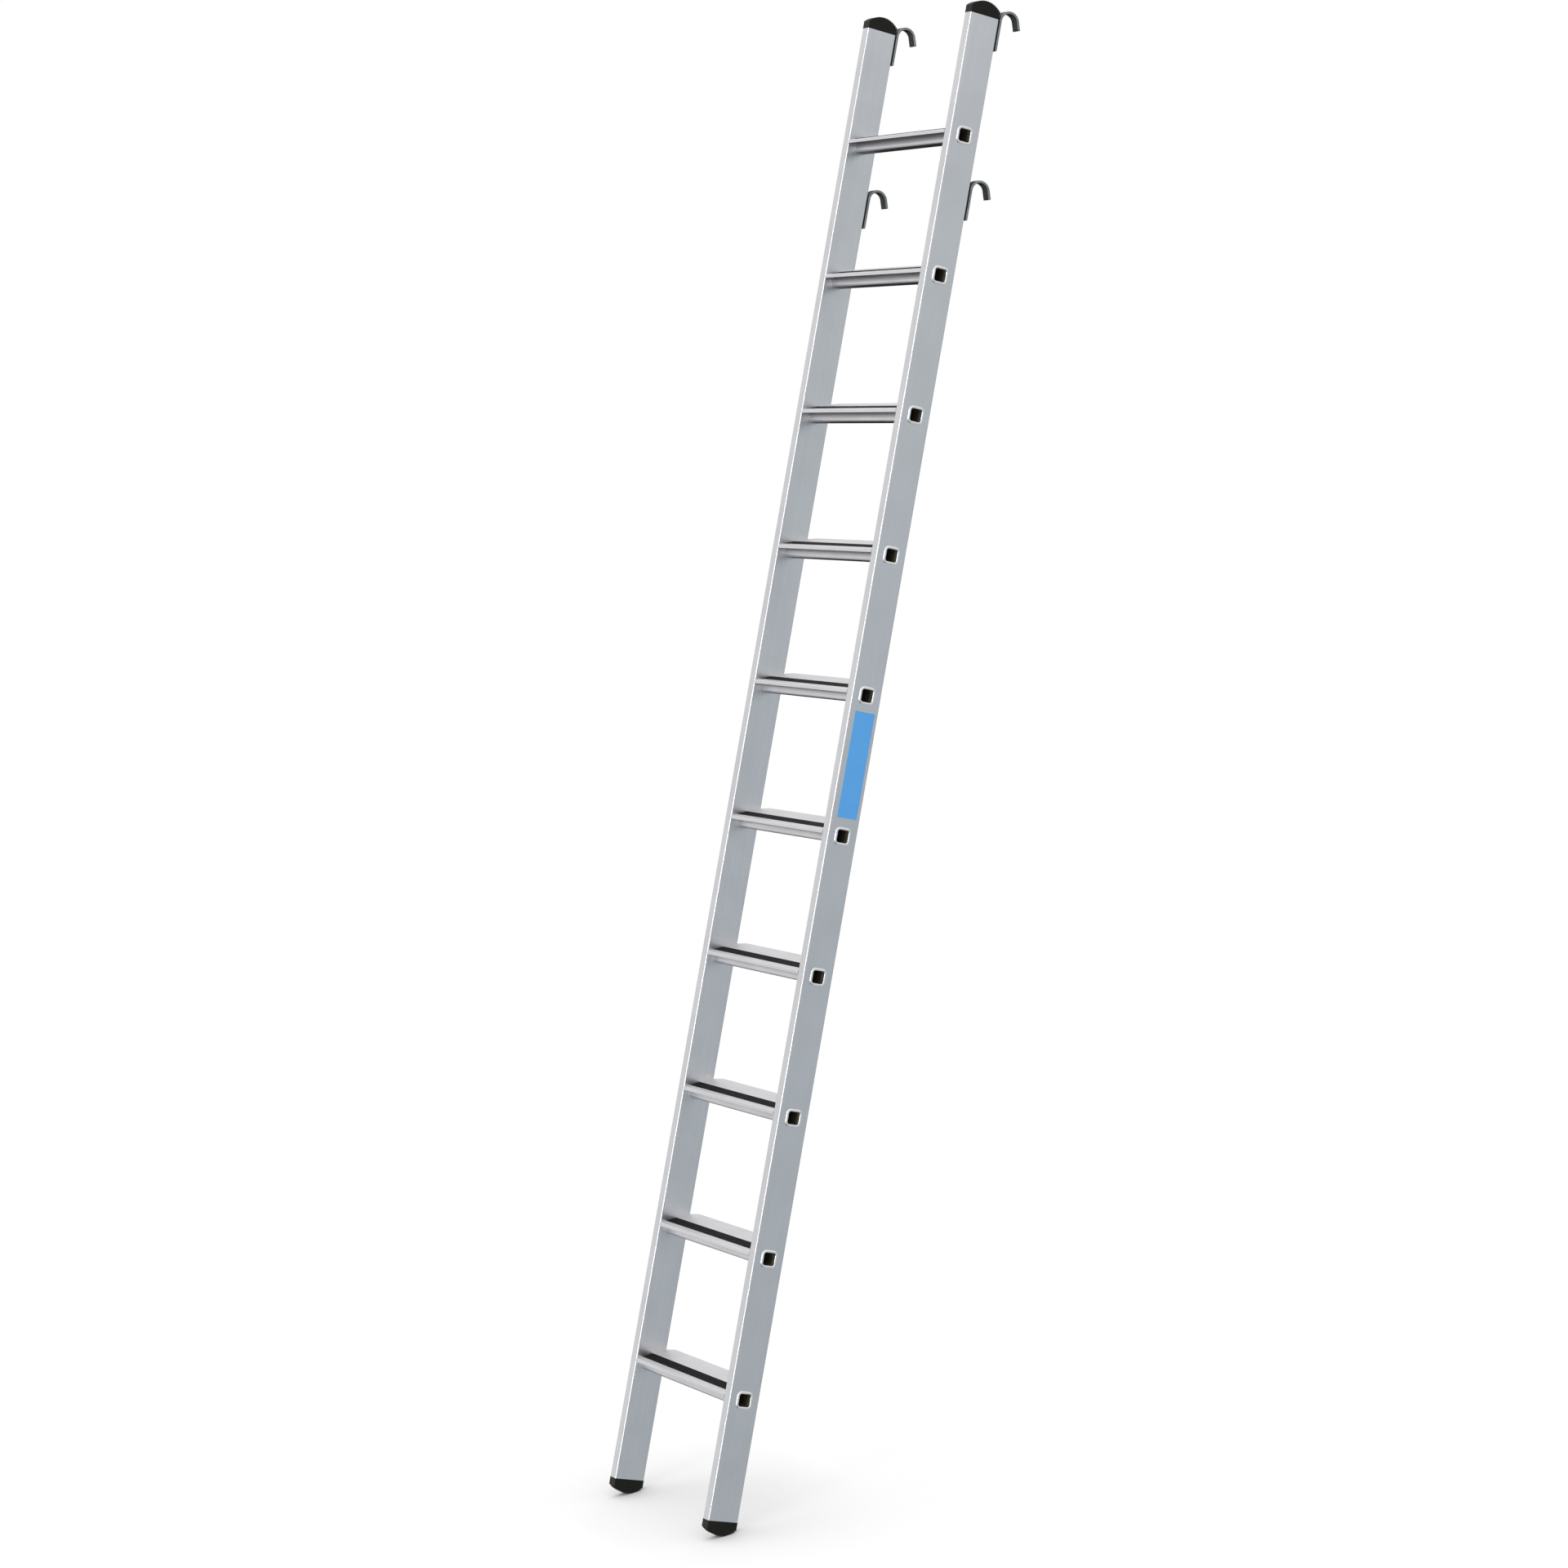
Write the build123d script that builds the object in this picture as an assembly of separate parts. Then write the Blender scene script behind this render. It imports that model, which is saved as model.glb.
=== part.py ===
from build123d import *
import os
from math import asin, cos, degrees, radians, sin, sqrt, tan

# Shelf ladder: two hollow stiles, step treads crimped through them, end caps and rail hooks.
# All sizes are millimetres. The ladder is modelled upright in its own axes (X across,
# Y from the climber's side to the back, Z up the stile) and leaned back at the end.

# Ladder layout
TREAD_COUNT = 10
TREAD_PITCH = 280.0
STILE_OVERHANG = 240.0
LADDER_WIDTH = 412.0
LEAN = 20.0

# Stiles: extruded rectangular hollow section
STILE_WIDTH = 23.0
STILE_DEPTH = 67.0
STILE_WALL = 1.8
STILE_CORNER = 3.0

# Treads: extruded step with a square tube that passes through both stiles
TUBE_SIZE = 28.0
TUBE_WALL = 1.6
TUBE_CORNER = 6.0
TUBE_CLEARANCE = 0.1
TREAD_DEPTH = 83.0
TREAD_RISE = 6.5
PLATE_THICKNESS = 2.2
LIP_HEIGHT = 6.8
LIP_THICKNESS = 2.4
LIP_ROUND = 1.2
CORNER_CLIP_DEPTH = 11.0
CORNER_CLIP_WIDTH = 17.0

# Crimped bead that locks each tube end on the stile's outer face
BEAD_OVERHANG = 3.75
BEAD_SIZE = TUBE_SIZE + 2 * BEAD_OVERHANG
BEAD_HEIGHT = 2.4
BEAD_ROUND = 2.2
BEAD_MOUTH_ROUND = 2.0

# Grip strips: ribbed inserts held in an undercut slot of the tread
STRIP_SETBACK = 14.7
STRIP_WIDTH = 24.4
STRIP_PROUD = 0.7
SLOT_LIP = 1.2
SLOT_UNDERCUT = 1.2
STRIP_FOOT = 1.2
SLOT_FLOOR = 1.8
STRIP_CLEARANCE = 0.1
STRIP_RIB_PITCH = 2.2
STRIP_GROOVE_WIDTH = 0.9
STRIP_GROOVE_DEPTH = 0.5

# End caps: moulded plugs with a ribbed dome, alike at head and foot
CAP_WALL_HEIGHT = 15.0
CAP_DOME_RISE = 14.0
CAP_CORNER = 1.2
CAP_RIB_PITCH = 4.8
CAP_GROOVE_WIDTH = 2.2
CAP_GROOVE_DEPTH = 1.8
PLUG_LENGTH = 24.0
PLUG_WALL = 2.2
PLUG_CLEARANCE = 0.15
PLUG_CORNER = 1.0

# Rail hooks: bent flat steel on packing strips, two blind rivets each
RAIL_RADIUS = 18.0
HOOK_THICKNESS = 5.0
HOOK_WIDTH = 20.0
HOOK_LEG = 61.0
HOOK_TIP = 18.0
HOOK_EDGE_ROUND = 0.8
RAIL_SPACING = 340.0
PACKING_THICKNESS = 3.0
PACKING_CORNER = 1.5
RIVET_RADIUS = 3.2
RIVET_CLEARANCE = 0.05
RIVET_HEAD_RADIUS = 5.6
RIVET_HEAD_HEIGHT = 1.8
RIVET_BULB_RADIUS = 4.6
RIVET_BULB_LENGTH = 6.0
RIVET_FROM_LEG_END = 11.0
RIVET_SPACING = 20.0

# Derived places
stile_length = 2 * STILE_OVERHANG + (TREAD_COUNT - 1) * TREAD_PITCH
stile_centre = (LADDER_WIDTH - STILE_WIDTH) / 2
tread_half = LADDER_WIDTH / 2 - STILE_WIDTH
tread_levels = [STILE_OVERHANG + i * TREAD_PITCH for i in range(TREAD_COUNT)]
tube_centre = STILE_DEPTH / 2
strip_start = STRIP_SETBACK
strip_middle = STRIP_SETBACK + STRIP_WIDTH / 2
slot_depth = SLOT_LIP + STRIP_FOOT
hook_back = STILE_DEPTH + PACKING_THICKNESS + HOOK_THICKNESS
rail_centre = hook_back + RAIL_RADIUS
rail_levels = {"upper": stile_length, "lower": stile_length - RAIL_SPACING}
rivet_drops = [HOOK_LEG - RIVET_FROM_LEG_END - i * RIVET_SPACING for i in range(2)]
sides = {"left": -1, "right": 1}

# Tread axes: along the step's top from its front edge, level once the ladder leans
TREAD_AXES = Pos(0, TREAD_RISE) * Rot(0, 0, LEAN)
TREAD_TOP = Plane((0, 0, TREAD_RISE), x_dir=(1, 0, 0), z_dir=(0, -sin(radians(LEAN)), cos(radians(LEAN))))


def tube_outline(size, corner):
    """Rounded square about the tube's axis, in the ladder's side view."""
    return Pos(tube_centre, 0) * RectangleRounded(size, size, corner)


def across(outline, half):
    """A side-view outline drawn out across the ladder, alike to both sides."""
    return extrude(Plane.YZ * outline, amount=half, both=True)


def tread_rectangle(start, stop, low, high):
    """Rectangle given in tread axes, placed in the ladder's side view."""
    middle = Pos((start + stop) / 2, (low + high) / 2)
    return TREAD_AXES * middle * Rectangle(stop - start, high - low)


def stile():
    """Hollow stile about its own axis in X, punched for the tread tubes."""
    section = RectangleRounded(STILE_WIDTH, STILE_DEPTH, STILE_CORNER)
    section -= Rectangle(STILE_WIDTH - 2 * STILE_WALL, STILE_DEPTH - 2 * STILE_WALL)
    body = extrude(Pos(0, STILE_DEPTH / 2) * section, amount=stile_length)
    hole = across(tube_outline(TUBE_SIZE + 2 * TUBE_CLEARANCE, TUBE_CORNER), STILE_WIDTH)
    body -= [Pos(0, 0, level) * hole for level in tread_levels]
    drill = Rot(-90, 0, 0) * Cylinder(RIVET_RADIUS + RIVET_CLEARANCE, 4 * STILE_WALL)
    body -= [Pos(0, STILE_DEPTH, level - drop) * drill for level in rail_levels.values() for drop in rivet_drops]
    return body


def tread_section():
    """Step plate with front and rear lips, strip slot base, tube and rear web."""
    slope = tan(radians(LEAN))
    plate = tread_rectangle(0, TREAD_DEPTH, -PLATE_THICKNESS, 0)
    rear_lip = tread_rectangle(TREAD_DEPTH - LIP_THICKNESS, TREAD_DEPTH, -LIP_HEIGHT, 0)
    lip_bottom = TREAD_RISE - LIP_HEIGHT
    lip_corners = [(0, TREAD_RISE), (0, lip_bottom), (LIP_THICKNESS, lip_bottom)]
    lip_corners.append((LIP_THICKNESS, TREAD_RISE + LIP_THICKNESS * slope))
    front_lip = make_face(Polyline(*lip_corners, close=True))
    slot_wall = SLOT_UNDERCUT + SLOT_FLOOR
    slot_stop = strip_start + STRIP_WIDTH
    base = tread_rectangle(strip_start - slot_wall, slot_stop + slot_wall, -slot_depth - SLOT_FLOOR, 0)
    web_back = tube_centre + TUBE_SIZE / 2
    web_top = TREAD_RISE + (web_back - TUBE_WALL) * slope - PLATE_THICKNESS / 2
    web = Pos(web_back - TUBE_WALL / 2, web_top / 2) * Rectangle(TUBE_WALL, web_top)
    section = plate + rear_lip + front_lip + base + web + tube_outline(TUBE_SIZE, TUBE_CORNER)
    section -= tread_rectangle(strip_start, slot_stop, -slot_depth, SLOT_LIP)
    section -= tread_rectangle(strip_start - SLOT_UNDERCUT, slot_stop + SLOT_UNDERCUT, -slot_depth, -SLOT_LIP)
    section -= tube_outline(TUBE_SIZE - 2 * TUBE_WALL, TUBE_CORNER - TUBE_WALL)
    nose = section.vertices().sort_by_distance((0, TREAD_RISE, 0))[0]
    return fillet(nose, LIP_ROUND)


def crimped_end():
    """Right-hand tube end: a sleeve through the stile and a rolled bead on its outer face."""
    bore = tube_outline(TUBE_SIZE - 2 * TUBE_WALL, TUBE_CORNER - TUBE_WALL)
    face = Plane.YZ.offset(LADDER_WIDTH / 2)
    bead = extrude(face * (tube_outline(BEAD_SIZE, TUBE_CORNER + BEAD_OVERHANG) - bore), amount=BEAD_HEIGHT)
    rim = bead.faces().sort_by(Axis.X)[-1]
    bead = fillet(rim.outer_wire().edges(), BEAD_ROUND)
    rim = bead.faces().sort_by(Axis.X)[-1]
    bead = fillet(rim.inner_wires()[0].edges(), BEAD_MOUTH_ROUND)
    sleeve = extrude(face * (tube_outline(TUBE_SIZE, TUBE_CORNER) - bore), amount=-STILE_WIDTH)
    return sleeve + bead


def tread():
    """One step: plate between the stiles, tube through them, a bead at each end."""
    end = crimped_end()
    body = across(tread_section(), tread_half) + [end, mirror(end, about=Plane.YZ)]
    corner = [(tread_half, TREAD_DEPTH), (tread_half - CORNER_CLIP_WIDTH, TREAD_DEPTH)]
    corner.append((tread_half, TREAD_DEPTH - CORNER_CLIP_DEPTH))
    clip = extrude(TREAD_TOP * make_face(Polyline(*corner, close=True)), amount=LIP_HEIGHT, both=True)
    return body - [clip, mirror(clip, about=Plane.YZ)]


def grip_strip():
    """Ribbed insert, its foot under the slot's lips and its crown just proud of the step."""
    crown = STRIP_WIDTH - 2 * STRIP_CLEARANCE
    foot_half = STRIP_WIDTH / 2 + SLOT_UNDERCUT - STRIP_CLEARANCE
    foot_top = -SLOT_LIP - STRIP_CLEARANCE
    section = tread_rectangle(strip_middle - crown / 2, strip_middle + crown / 2, -slot_depth, STRIP_PROUD)
    section += tread_rectangle(strip_middle - foot_half, strip_middle + foot_half, -slot_depth, foot_top)
    grooves = int(crown / STRIP_RIB_PITCH)
    groove = Rectangle(STRIP_GROOVE_WIDTH, 2 * STRIP_GROOVE_DEPTH)
    row = TREAD_AXES * Pos(strip_middle, STRIP_PROUD)
    section -= [row * place * groove for place in GridLocations(STRIP_RIB_PITCH, 0, grooves, 1)]
    return across(section, tread_half)


def end_cap():
    """Foot cap about the stile's axis: ribbed dome, flush wall and a hollow plug above it."""
    half = STILE_DEPTH / 2
    low = -CAP_WALL_HEIGHT - CAP_DOME_RISE
    edges = Polyline((-half, -CAP_WALL_HEIGHT), (-half, 0), (half, 0), (half, -CAP_WALL_HEIGHT))
    edges += ThreePointArc((half, -CAP_WALL_HEIGHT), (0, low), (-half, -CAP_WALL_HEIGHT))
    body = across(make_face(edges), STILE_WIDTH / 2)
    body = fillet(body.edges().filter_by(Axis.Z), CAP_CORNER)
    groove = Box(2 * STILE_WIDTH, CAP_GROOVE_WIDTH, 2 * CAP_GROOVE_DEPTH)
    step = degrees(CAP_RIB_PITCH / dome_radius)
    ribs_each_side = int(degrees(asin(half / dome_radius)) / step)
    turns = [i * step for i in range(-ribs_each_side, ribs_each_side + 1)]
    dome = Pos(0, 0, low + dome_radius)
    body -= [dome * Rot(turn, 0, 0) * Pos(0, 0, -dome_radius) * groove for turn in turns]
    width = STILE_WIDTH - 2 * (STILE_WALL + PLUG_CLEARANCE)
    depth = STILE_DEPTH - 2 * (STILE_WALL + PLUG_CLEARANCE)
    plug = RectangleRounded(width, depth, PLUG_CORNER)
    plug -= Rectangle(width - 2 * PLUG_WALL, depth - 2 * PLUG_WALL)
    return body + extrude(plug, amount=PLUG_LENGTH)


def hook():
    """Bent flat bar about the rail's axis, its tip upright once the ladder leans."""
    outer = RAIL_RADIUS + HOOK_THICKNESS
    sweep = 180 - LEAN
    end = Vector(cos(radians(LEAN)), sin(radians(LEAN)))
    down = Vector(sin(radians(LEAN)), -cos(radians(LEAN))) * HOOK_TIP
    edges = Polyline((-RAIL_RADIUS, 0), (-RAIL_RADIUS, -HOOK_LEG), (-outer, -HOOK_LEG), (-outer, 0))
    edges += CenterArc((0, 0), outer, 180, -sweep)
    edges += Polyline(end * outer, end * outer + down, end * RAIL_RADIUS + down, end * RAIL_RADIUS)
    edges += CenterArc((0, 0), RAIL_RADIUS, 180, -sweep)
    bar = across(make_face(edges), HOOK_WIDTH / 2)
    ends = bar.faces().sort_by(Axis.X)
    bar = fillet(ends[0].edges() + ends[-1].edges(), HOOK_EDGE_ROUND)
    drill = Rot(-90, 0, 0) * Cylinder(RIVET_RADIUS + RIVET_CLEARANCE, 4 * HOOK_THICKNESS)
    return bar - [Pos(0, -RAIL_RADIUS, -drop) * drill for drop in rivet_drops]


def packing_strip():
    """Thin packing under a hook's leg, centred on the rail's axis like the hook."""
    seat = Plane((0, -RAIL_RADIUS - HOOK_THICKNESS, 0), x_dir=(1, 0, 0), z_dir=(0, -1, 0))
    outline = Pos(0, -HOOK_LEG / 2) * RectangleRounded(HOOK_WIDTH, HOOK_LEG, PACKING_CORNER)
    holes = [Pos(0, -drop) * Circle(RIVET_RADIUS + RIVET_CLEARANCE) for drop in rivet_drops]
    return extrude(seat * (outline - holes), amount=PACKING_THICKNESS)


def rivet():
    """Set blind rivet along Y, its origin on the stile's back face."""
    head = PACKING_THICKNESS + HOOK_THICKNESS
    bulb_end = -STILE_WALL - RIVET_BULB_LENGTH
    shoulder = -STILE_WALL - RIVET_BULB_LENGTH / 2
    edges = Polyline((0, head + RIVET_HEAD_HEIGHT), (0, bulb_end), (RIVET_RADIUS, bulb_end))
    edges += Line((RIVET_RADIUS, bulb_end), (RIVET_BULB_RADIUS, shoulder))
    edges += Polyline((RIVET_BULB_RADIUS, shoulder), (RIVET_BULB_RADIUS, -STILE_WALL), (RIVET_RADIUS, -STILE_WALL))
    edges += Polyline((RIVET_RADIUS, -STILE_WALL), (RIVET_RADIUS, head), (RIVET_HEAD_RADIUS, head))
    crown = (RIVET_HEAD_RADIUS ** 2 + RIVET_HEAD_HEIGHT ** 2) / (2 * RIVET_HEAD_HEIGHT)
    edges += RadiusArc((RIVET_HEAD_RADIUS, head), (0, head + RIVET_HEAD_HEIGHT), -crown)
    return revolve(make_face(edges), axis=Axis.Y)


dome_radius = ((STILE_DEPTH / 2) ** 2 + CAP_DOME_RISE ** 2) / (2 * CAP_DOME_RISE)

# Pieces in the ladder's own axes, by name
pieces = {}
one_stile = stile()
one_cap = end_cap()
one_hook = hook()
one_packing = packing_strip()
one_tread = tread()
one_strip = grip_strip()
for side, sign in sides.items():
    foot = Pos(sign * stile_centre, STILE_DEPTH / 2, 0)
    head = Pos(sign * stile_centre, STILE_DEPTH / 2, stile_length) * Rot(180, 0, 0)
    pieces[f"stile_{side}"] = Pos(sign * stile_centre, 0, 0) * one_stile
    pieces[f"foot_cap_{side}"] = foot * one_cap
    pieces[f"head_cap_{side}"] = head * one_cap
    for name, level in rail_levels.items():
        rail = Pos(sign * stile_centre, rail_centre, level)
        pieces[f"{name}_hook_{side}"] = rail * one_hook
        pieces[f"{name}_hook_packing_{side}"] = rail * one_packing
for number, level in enumerate(tread_levels, start=1):
    pieces[f"tread_{number:02d}"] = Pos(0, 0, level) * one_tread
    pieces[f"grip_strip_{number:02d}"] = Pos(0, 0, level) * one_strip
one_rivet = rivet()
rivets = []
for sign in sides.values():
    for level in rail_levels.values():
        rivets += [Pos(sign * stile_centre, STILE_DEPTH, level - drop) * one_rivet for drop in rivet_drops]
pieces["hook_rivets"] = Compound(children=rivets)

# Lean the ladder back and stand its feet on the floor, with the origin under the domes
lean = Rot(-LEAN, 0, 0)
dome_centre = (lean * Pos(0, STILE_DEPTH / 2, dome_radius - CAP_WALL_HEIGHT - CAP_DOME_RISE)).position
floor = (lean * pieces["foot_cap_right"]).bounding_box().min.Z
stand = Pos(0, -dome_centre.Y, -floor) * lean

os.makedirs("parts", exist_ok=True)
for name, piece in pieces.items():
    export_step(stand * piece, f"parts/{name}.step")
print(len(pieces), "pieces, rail centres at", rail_centre, rail_levels)
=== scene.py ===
"""Shelf ladder in a studio: hollow stiles, crimped step treads, ribbed end caps and rail hooks.

Lengths are millimetres in the ladder's own axes: X across, Y from the climber's side to the back
and Z up the stile. Ladder.standing() leans them back into the shared frame, in metres.
"""
from __future__ import annotations

import logging
from dataclasses import dataclass
from enum import Enum
from math import asin, atan2, cos, hypot, pi, radians, sin, tan
from typing import Any, Mapping, Sequence

import bmesh
import bpy
from bmesh.types import BMEdge, BMesh
from bpy.types import Material, Node, NodeSocket, NodeTree, Object
from mathutils import Matrix, Quaternion, Vector


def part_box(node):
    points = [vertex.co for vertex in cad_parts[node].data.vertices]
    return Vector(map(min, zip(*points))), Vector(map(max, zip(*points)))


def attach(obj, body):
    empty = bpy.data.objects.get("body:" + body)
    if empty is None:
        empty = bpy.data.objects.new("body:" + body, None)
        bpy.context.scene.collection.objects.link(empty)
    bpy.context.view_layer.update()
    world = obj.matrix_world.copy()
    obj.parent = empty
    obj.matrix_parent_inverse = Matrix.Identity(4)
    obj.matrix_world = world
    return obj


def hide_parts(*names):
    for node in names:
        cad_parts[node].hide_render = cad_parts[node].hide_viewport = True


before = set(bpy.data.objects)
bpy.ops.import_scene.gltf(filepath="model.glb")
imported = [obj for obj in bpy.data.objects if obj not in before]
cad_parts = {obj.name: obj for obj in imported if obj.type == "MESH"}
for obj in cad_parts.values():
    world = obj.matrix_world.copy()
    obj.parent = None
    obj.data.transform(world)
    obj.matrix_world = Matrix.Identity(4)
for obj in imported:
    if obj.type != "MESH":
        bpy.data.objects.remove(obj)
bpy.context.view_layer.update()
log = logging.getLogger("shelf_ladder")

Point = tuple[float, float]
Spot = tuple[float, float, float]
FLOAT, WHOLE, THING = "NodeSocketFloat", "NodeSocketInt", "NodeSocketObject"
TURN, FINISH, SHAPE = "NodeSocketRotation", "NodeSocketMaterial", "NodeSocketGeometry"

# Degrees an edge may turn by before its shading stays sharp
SHARP_TURN = 35.0
# Least share of a corner's miter that an inset outline follows
MITER_LIMIT = 0.4
# Straight pieces in the rounding of a prism's end edges
END_STEPS = 3
# Millimetres of play when faces and edges are picked by where they lie
SLACK = 0.1


class Grain(Enum):
    """The ladder axis that a pulled or rolled surface's lines run along."""

    ACROSS = 0
    UP_THE_STILE = 2


# Small tools shared by every piece

def linear(colour: str) -> tuple[float, float, float, float]:
    """Turns an sRGB hex colour into a linear one with full alpha."""
    parts = [int(colour[i:i + 2], 16) / 255 for i in (1, 3, 5)]
    red, green, blue = (p / 12.92 if p <= 0.04045 else ((p + 0.055) / 1.055) ** 2.4 for p in parts)
    return red, green, blue, 1.0


def add_node(tree: NodeTree, kind: str, inputs: Mapping[Any, Any] | None = None, **settings: Any) -> Node:
    """Adds one node to a tree, with its settings and its inputs.

    Args:
        tree: The shader or geometry tree.
        kind: Blender's name for the node type.
        inputs: Values, nodes, sockets or lists of them, by input name or index.
        **settings: Properties of the node itself.

    Returns:
        The new node.
    """
    node = tree.nodes.new(kind)
    for key, value in settings.items():
        setattr(node, key, value)
    for key, value in (inputs or {}).items():
        for item in value if isinstance(value, list) else [value]:
            if isinstance(item, Node):
                item = item.outputs[0]
            if isinstance(item, NodeSocket):
                tree.links.new(item, node.inputs[key])
            else:
                node.inputs[key].default_value = item
    return node


def round_corners(corners: Sequence[Spot], steps: int = 4) -> list[Point]:
    """Rounds the corners of a flat outline.

    Args:
        corners: Each corner as its two coordinates and its radius, 0 for a sharp one.
        steps: Straight pieces in each arc.

    Returns:
        The outline's points in order.
    """
    outline: list[Point] = []
    for i, (x, y, radius) in enumerate(corners):
        here = Vector((x, y))
        if radius == 0:
            outline.append((x, y))
            continue
        back = (Vector(corners[i - 1][:2]) - here).normalized()
        ahead = (Vector(corners[(i + 1) % len(corners)][:2]) - here).normalized()
        half = back.angle(ahead) / 2
        centre = here + (back + ahead).normalized() * radius / sin(half)
        first = here + back * radius / tan(half) - centre
        last = here + ahead * radius / tan(half) - centre
        begin = atan2(first.y, first.x)
        sweep = (atan2(last.y, last.x) - begin + pi) % (2 * pi) - pi
        for step in range(steps + 1):
            angle = begin + sweep * step / steps
            outline.append((centre.x + radius * cos(angle), centre.y + radius * sin(angle)))
    return outline


def rounded_rectangle(width: float, height: float, radius: float, steps: int = 6) -> list[Point]:
    """Rounded rectangle about the origin, running anticlockwise."""
    x, y = width / 2, height / 2
    return round_corners([(x, -y, radius), (x, y, radius), (-x, y, radius), (-x, -y, radius)], steps)


def inset(outline: Sequence[Point], distance: float) -> list[Point]:
    """Moves an anticlockwise outline inwards by a small distance."""
    moved: list[Point] = []
    for i, point in enumerate(outline):
        here = Vector(point)
        before = (here - Vector(outline[i - 1])).normalized()
        after = (Vector(outline[(i + 1) % len(outline)]) - here).normalized()
        sides = Vector((-before.y - after.y, before.x + after.x)).normalized()
        shift = sides * distance / max(MITER_LIMIT, sides.dot(Vector((-before.y, before.x))))
        moved.append((point[0] + shift.x, point[1] + shift.y))
    return moved


def loft(shape: BMesh, loops: Sequence[Sequence[Any]], ring: bool = False) -> None:
    """Skins a row of equal loops of points.

    Args:
        shape: The mesh that the skin is added to.
        loops: Loops with the same number of points, in order.
        ring: Joins the last loop to the first, in place of closing both ends with a face.
    """
    rows = [[shape.verts.new(point) for point in loop] for loop in loops]
    for low, high in zip(rows, rows[1:] + (rows[:1] if ring else [])):
        for i in range(len(low)):
            shape.faces.new((low[i - 1], low[i], high[i], high[i - 1]))
    if not ring:
        shape.faces.new(rows[0])
        shape.faces.new(rows[-1])


def soft_prism(shape: BMesh, outline: Sequence[Point], start: float, stop: float,
               soften: float = 0.0) -> None:
    """Draws a side-view outline out across the ladder.

    Args:
        shape: The mesh that the prism is added to.
        outline: Anticlockwise points in Y and Z.
        start: Lower X of the prism.
        stop: Upper X of the prism.
        soften: Radius that its two end edges are rounded to.
    """
    ends = []
    for step in range(END_STEPS + 1 if soften else 1):
        angle = pi / 2 * step / END_STEPS
        loop = inset(outline, soften * (1 - sin(angle))) if soften else outline
        ends.append((soften * (1 - cos(angle)), loop))
    places = [(start + depth, loop) for depth, loop in ends]
    places += [(stop - depth, loop) for depth, loop in reversed(ends)]
    loft(shape, [[(x, y, z) for y, z in loop] for x, loop in places])


def to_object(name: str, shape: BMesh) -> Object:
    """Turns a finished mesh build into an object of the scene, faces outward."""
    bmesh.ops.recalc_face_normals(shape, faces=shape.faces)
    mesh = bpy.data.meshes.new(name)
    shape.to_mesh(mesh)
    shape.free()
    thing = bpy.data.objects.new(name, mesh)
    bpy.context.scene.collection.objects.link(thing)
    return thing


def outline_object(name: str, points: Sequence[Any], closed: bool) -> Object:
    """Makes an object of edges only, to be swept or used as a profile."""
    last = [(len(points) - 1, 0)] if closed else []
    mesh = bpy.data.meshes.new(name)
    mesh.from_pydata(points, [(i, i + 1) for i in range(len(points) - 1)] + last, [])
    thing = bpy.data.objects.new(name, mesh)
    bpy.context.scene.collection.objects.link(thing)
    return thing


def new_tree(name: str, inputs: Mapping[str, str]) -> tuple[NodeTree, Node]:
    """Starts a Geometry Nodes tree.

    Args:
        name: Name of the tree.
        inputs: Socket type of each named input.

    Returns:
        The tree and its input node.
    """
    tree = bpy.data.node_groups.new(name, "GeometryNodeTree")
    for label, kind in inputs.items():
        tree.interface.new_socket(label, in_out="INPUT", socket_type=kind)
    tree.interface.new_socket("Geometry", in_out="OUTPUT", socket_type=SHAPE)
    return tree, tree.nodes.new("NodeGroupInput")


def close_tree(tree: NodeTree, shape: Node, sizes: Node) -> None:
    """Ends a tree in real geometry that wears the finish given to it."""
    real = add_node(tree, "GeometryNodeRealizeInstances", {"Geometry": shape})
    dressed = add_node(tree, "GeometryNodeSetMaterial", {
        "Geometry": real, "Material": sizes.outputs["Finish"]})
    add_node(tree, "NodeGroupOutput", {0: dressed})


def grow(name: str, tree: NodeTree, values: Mapping[str, Any], base: Object | None = None) -> Object:
    """Runs a tree and keeps its result as a plain mesh, still in the ladder's own axes.

    Args:
        name: Name of the result.
        tree: The Geometry Nodes tree.
        values: Value of each named input; objects among them are used up.
        base: Object whose mesh goes in as the tree's geometry, also used up.

    Returns:
        The object, without the modifier.
    """
    thing = base or to_object(name, bmesh.new())
    modifier = thing.modifiers.new(tree.name, "NODES")
    modifier.node_group = tree
    for item in tree.interface.items_tree:
        if item.in_out == "INPUT" and item.name in values:
            modifier[item.identifier] = values[item.name]
    graph = bpy.context.evaluated_depsgraph_get()
    mesh = bpy.data.meshes.new_from_object(thing.evaluated_get(graph), depsgraph=graph)
    # Trees leave an empty slot in front of the finish, which would shift every later slot
    while None in list(mesh.materials):
        mesh.materials.pop(index=list(mesh.materials).index(None))
    thing.modifiers.clear()
    thing.data = mesh
    thing.name = mesh.name = name
    for value in values.values():
        if isinstance(value, Object):
            bpy.data.objects.remove(value)
    return thing


def place(piece: Object, matrix: Matrix) -> None:
    """Moves a piece's mesh into the shared frame and evens its shading out.

    Args:
        piece: Object at the origin whose mesh is in millimetres.
        matrix: From the piece's axes to the shared frame.
    """
    piece.data.transform(matrix)
    piece.data.shade_smooth()
    piece.data.set_sharp_from_angle(angle=radians(SHARP_TURN))
    piece.modifiers.new("EvenShading", "WEIGHTED_NORMAL").keep_sharp = True


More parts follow.
